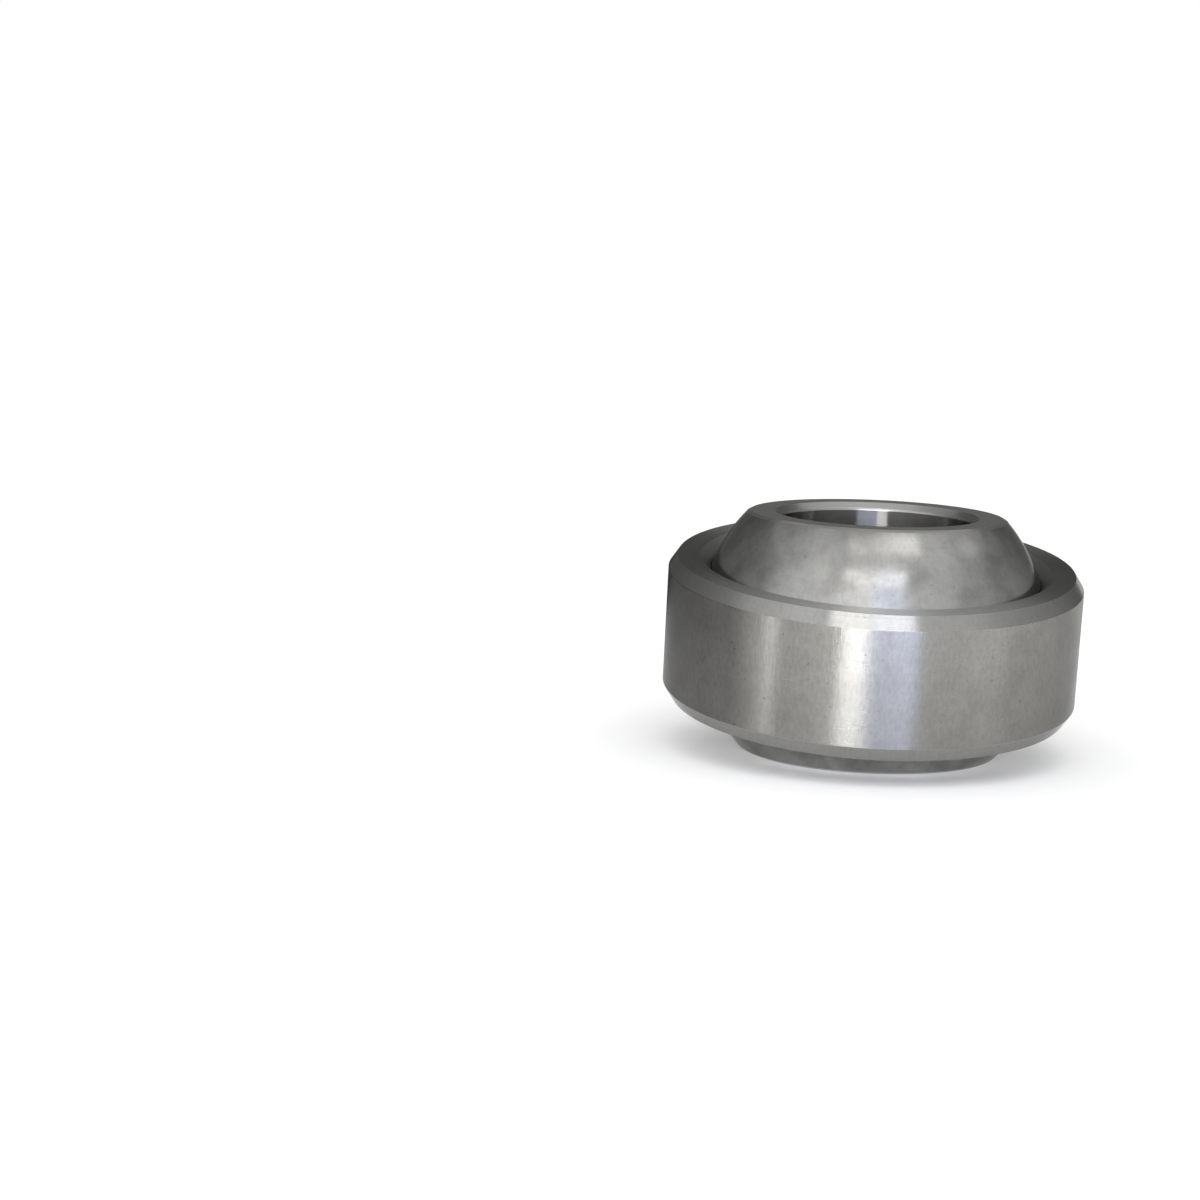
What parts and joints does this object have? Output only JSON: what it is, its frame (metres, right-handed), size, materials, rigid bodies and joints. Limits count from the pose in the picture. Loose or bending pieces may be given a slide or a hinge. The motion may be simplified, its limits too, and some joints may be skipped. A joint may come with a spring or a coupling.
{
  "type": "spherical plain bearing",
  "caption": "Steel spherical plain bearing: a bored, truncated ball turns and swivels in the hollow race of a chamfered outer ring.",
  "frame": {"origin": "centre of the ball, where the bore axis crosses the swivel axis", "axes": "+Z along the bore, up from the end face it stands on; X is the swivel axis; the outer ring leans with its top towards -Y"},
  "size_m": [0.026, 0.0266, 0.015],
  "materials": {
    "ground_steel": "ground cylinder, fine turned faces, satin",
    "polished_steel": "polished ball, turned end faces, ground bore"
  },
  "bodies": {
    "outer_ring": {"outer_ring": "ground_steel"},
    "inner_ring": {"inner_ring": "polished_steel"}
  },
  "joints": [
    {"name": "ball_swivel", "type": "hinge", "parent": "outer_ring", "child": "inner_ring", "pos_m": [0, 0, 0], "axis": [1, 0, 0], "continuous": true}
  ]
}
